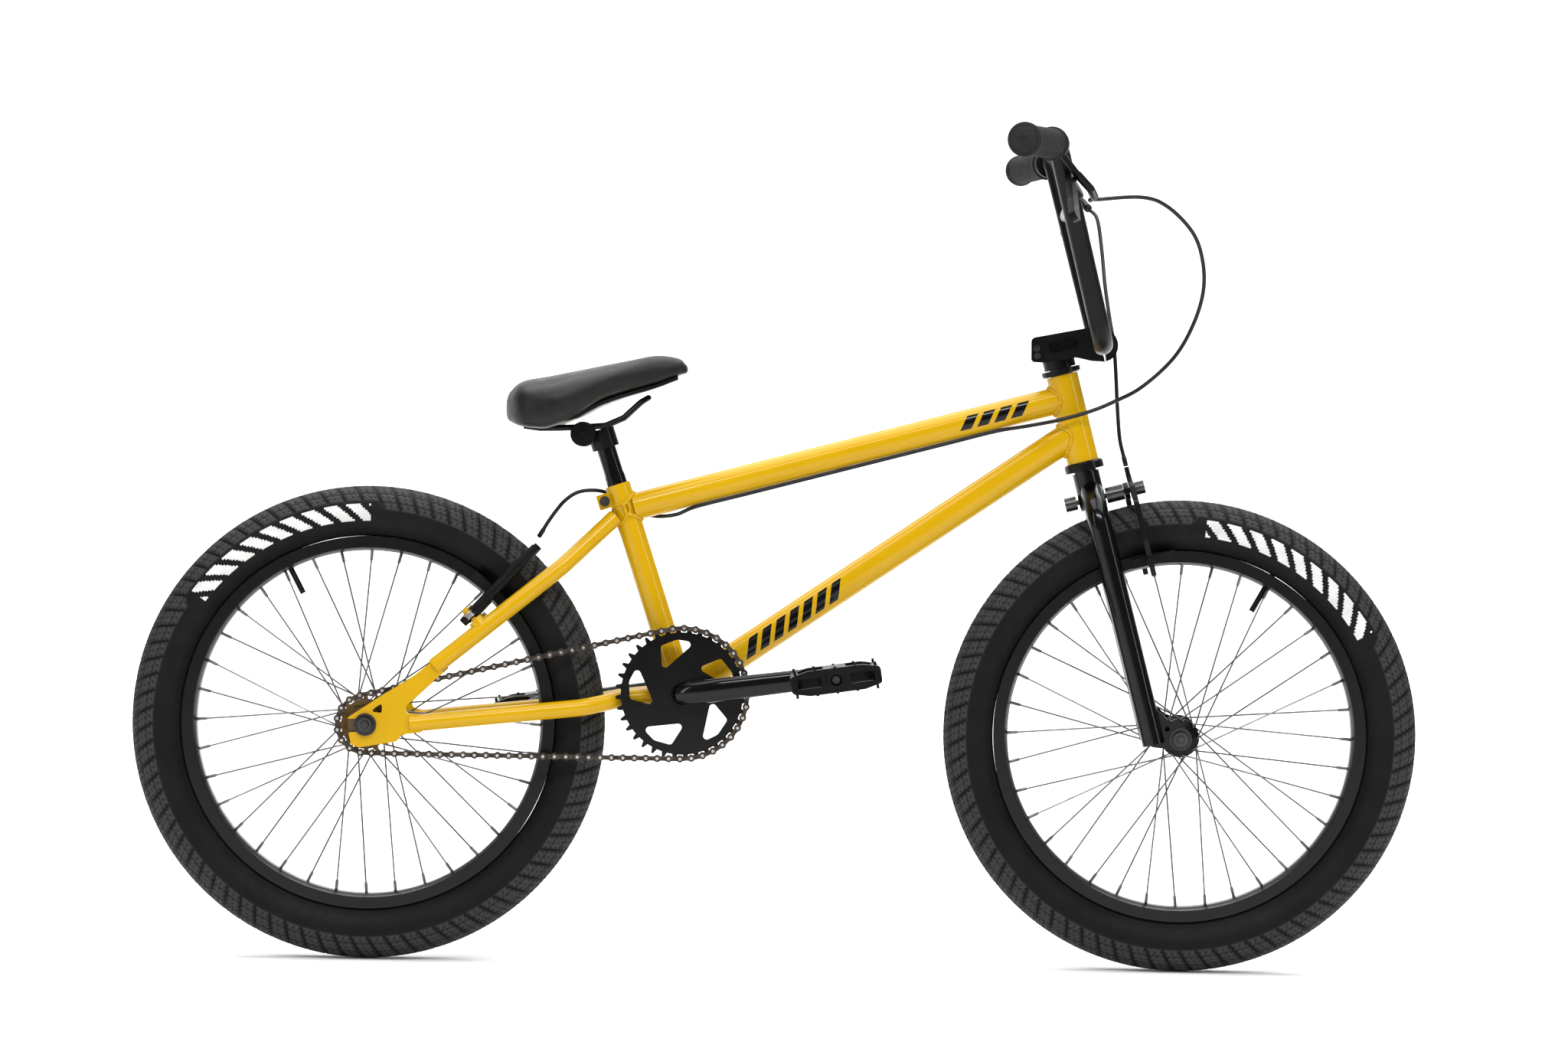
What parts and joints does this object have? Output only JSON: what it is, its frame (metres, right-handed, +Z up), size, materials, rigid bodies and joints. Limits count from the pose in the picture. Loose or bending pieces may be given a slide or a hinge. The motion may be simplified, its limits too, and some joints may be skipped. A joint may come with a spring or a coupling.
{
  "type": "bmx bicycle",
  "caption": "Small-wheeled BMX bicycle with a steel diamond frame, high-rise handlebar with crossbar, one-piece crank, single-speed chain drive, rim brakes and nutted axles.",
  "frame": {"origin": "centre of the bounding box on the ground plane, midway between the two axles", "axes": "+X towards the front wheel, +Y towards the rider's left, +Z up; the steering rests 3.3 degrees to the right"},
  "size_m": [1.4395, 0.7164, 0.9373],
  "materials": {
    "frame_yellow": "gloss",
    "gloss_black": "gloss",
    "satin_black": "satin",
    "steel": "satin",
    "chain_steel": "satin",
    "bronze_cog": "satin",
    "tyre_rubber": "matte",
    "grip_rubber": "matte",
    "black_plastic": "satin",
    "saddle_vinyl": "satin",
    "rim_alloy": "gloss"
  },
  "bodies": {
    "frame": {"frame": "frame_yellow", "headset_cup_upper": "satin_black", "headset_cup_lower": "satin_black", "bb_cup_right": "satin_black", "bb_cup_left": "satin_black", "seat_clamp_bolt": "steel", "rear_axle": "steel", "rear_axle_nut_right": "steel", "rear_axle_nut_left": "steel", "rear_brake_cable": "black_plastic", "chain": "chain_steel"},
    "seat": {"seatpost": "gloss_black", "saddle_clamp": "satin_black", "saddle_rails": "steel", "saddle_base": "black_plastic", "saddle_cover": "saddle_vinyl"},
    "steering": {"fork": "gloss_black", "stem": "satin_black", "stem_faceplate": "satin_black", "stem_pinch_bolt_upper": "steel", "stem_pinch_bolt_lower": "steel", "handlebar": "satin_black", "grip_right": "grip_rubber", "grip_left": "grip_rubber", "lever_clamp_right": "black_plastic", "lever_clamp_left": "black_plastic", "front_axle": "steel", "front_axle_nut_right": "steel", "front_axle_nut_left": "steel", "front_brake_bolt": "steel", "front_brake_cable": "black_plastic"},
    "front_wheel": {"front_tyre": "tyre_rubber", "front_inner_tube": "tyre_rubber", "front_rim": "rim_alloy", "front_hub": "satin_black", "front_spokes_right": "steel", "front_spokes_left": "steel"},
    "rear_wheel": {"rear_tyre": "tyre_rubber", "rear_inner_tube": "tyre_rubber", "rear_rim": "rim_alloy", "rear_hub": "satin_black", "rear_spokes_right": "steel", "rear_spokes_left": "steel"},
    "freewheel": {"freewheel_cog": "bronze_cog"},
    "crankset": {"crank": "gloss_black", "sprocket": "gloss_black", "pedal_spindle_right": "steel", "pedal_spindle_left": "steel"},
    "pedal_r": {"pedal_right": "black_plastic"},
    "pedal_l": {"pedal_left": "black_plastic"},
    "lever_r": {"brake_lever_right": "black_plastic"},
    "lever_l": {"brake_lever_left": "black_plastic"},
    "front_arm_r": {"front_brake_arm_right": "satin_black", "front_brake_pad_right": "tyre_rubber"},
    "front_arm_l": {"front_brake_arm_left": "satin_black", "front_brake_pad_left": "tyre_rubber"},
    "rear_arm_r": {"rear_brake_arm_right": "black_plastic", "rear_brake_pad_right": "tyre_rubber"},
    "rear_arm_l": {"rear_brake_arm_left": "black_plastic", "rear_brake_pad_left": "tyre_rubber"}
  },
  "joints": [
    {"name": "steering", "type": "hinge", "parent": "frame", "child": "steering", "pos_m": [0.3287, 0, 0.6197], "axis": [-0.2546, 0, 0.967], "range_deg": [-71.7, 78.3], "deforming": ["rear_brake_cable"]},
    {"name": "front_wheel_spin", "type": "hinge", "parent": "steering", "child": "front_wheel", "pos_m": [0.45495, -0.00183, 0.26499], "axis": [0.0557, 0.9983, 0.0147], "continuous": true},
    {"name": "rear_wheel_spin", "type": "hinge", "parent": "frame", "child": "rear_wheel", "pos_m": [-0.455, 0, 0.265], "axis": [0, 1, 0], "continuous": true},
    {"name": "crank_spin", "type": "hinge", "parent": "frame", "child": "crankset", "pos_m": [-0.10396, 0, 0.3048], "axis": [0, 1, 0], "continuous": true, "deforming": ["chain"]},
    {"name": "freewheel_spin", "type": "hinge", "parent": "frame", "child": "freewheel", "pos_m": [-0.455, 0, 0.265], "axis": [0, 1, 0], "continuous": true},
    {"name": "pedal_spin_right", "type": "hinge", "parent": "crankset", "child": "pedal_r", "pos_m": [0.0643, -0.085, 0.32905], "axis": [0, 1, 0], "continuous": true},
    {"name": "pedal_spin_left", "type": "hinge", "parent": "crankset", "child": "pedal_l", "pos_m": [-0.27222, 0.085, 0.28055], "axis": [0, 1, 0], "continuous": true},
    {"name": "seatpost_slide", "type": "slide", "parent": "frame", "child": "seat", "axis": [-0.3156, 0, 0.9489], "range_m": [-0.02, 0.05]},
    {"name": "brake_lever_right", "type": "hinge", "parent": "steering", "child": "lever_r", "pos_m": [0.3075, -0.20789, 0.87397], "axis": [-0.8539, 0.2363, -0.4637], "range_deg": [0, 22], "stiffness_Nm_per_rad": 0.3, "springref_deg": -5.73},
    {"name": "brake_lever_left", "type": "hinge", "parent": "steering", "child": "lever_l", "pos_m": [0.33032, 0.20143, 0.87998], "axis": [0.8741, 0.1263, 0.469], "range_deg": [0, 22], "stiffness_Nm_per_rad": 0.3, "springref_deg": -5.73},
    {"name": "front_brake_left", "type": "hinge", "parent": "steering", "child": "front_arm_l", "pos_m": [0.39103, -0.0023, 0.53942], "axis": [-0.9654, 0.0576, -0.2542], "range_deg": [0, 1.2]},
    {"name": "front_brake_right", "type": "hinge", "parent": "steering", "child": "front_arm_r", "pos_m": [0.3974, -0.00268, 0.5411], "axis": [0.9654, -0.0576, 0.2542], "range_deg": [0, 1.2]},
    {"name": "rear_brake_right", "type": "hinge", "parent": "frame", "child": "rear_arm_r", "pos_m": [-0.34107, -0.0494, 0.3879], "axis": [-0.735, 0, 0.678], "range_deg": [0, 3.4]},
    {"name": "rear_brake_left", "type": "hinge", "parent": "frame", "child": "rear_arm_l", "pos_m": [-0.34107, 0.0494, 0.3879], "axis": [0.735, 0, -0.678], "range_deg": [0, 3.4]}
  ],
  "couplings": [
    {"joint": "freewheel_spin", "follows": "crank_spin", "ratio": 2.25},
    {"joint": "front_brake_left", "follows": "brake_lever_left", "ratio": 0.05},
    {"joint": "rear_brake_left", "follows": "brake_lever_right", "ratio": 0.15},
    {"joint": "front_brake_right", "follows": "brake_lever_left", "ratio": 0.05},
    {"joint": "rear_brake_right", "follows": "brake_lever_right", "ratio": 0.15}
  ]
}
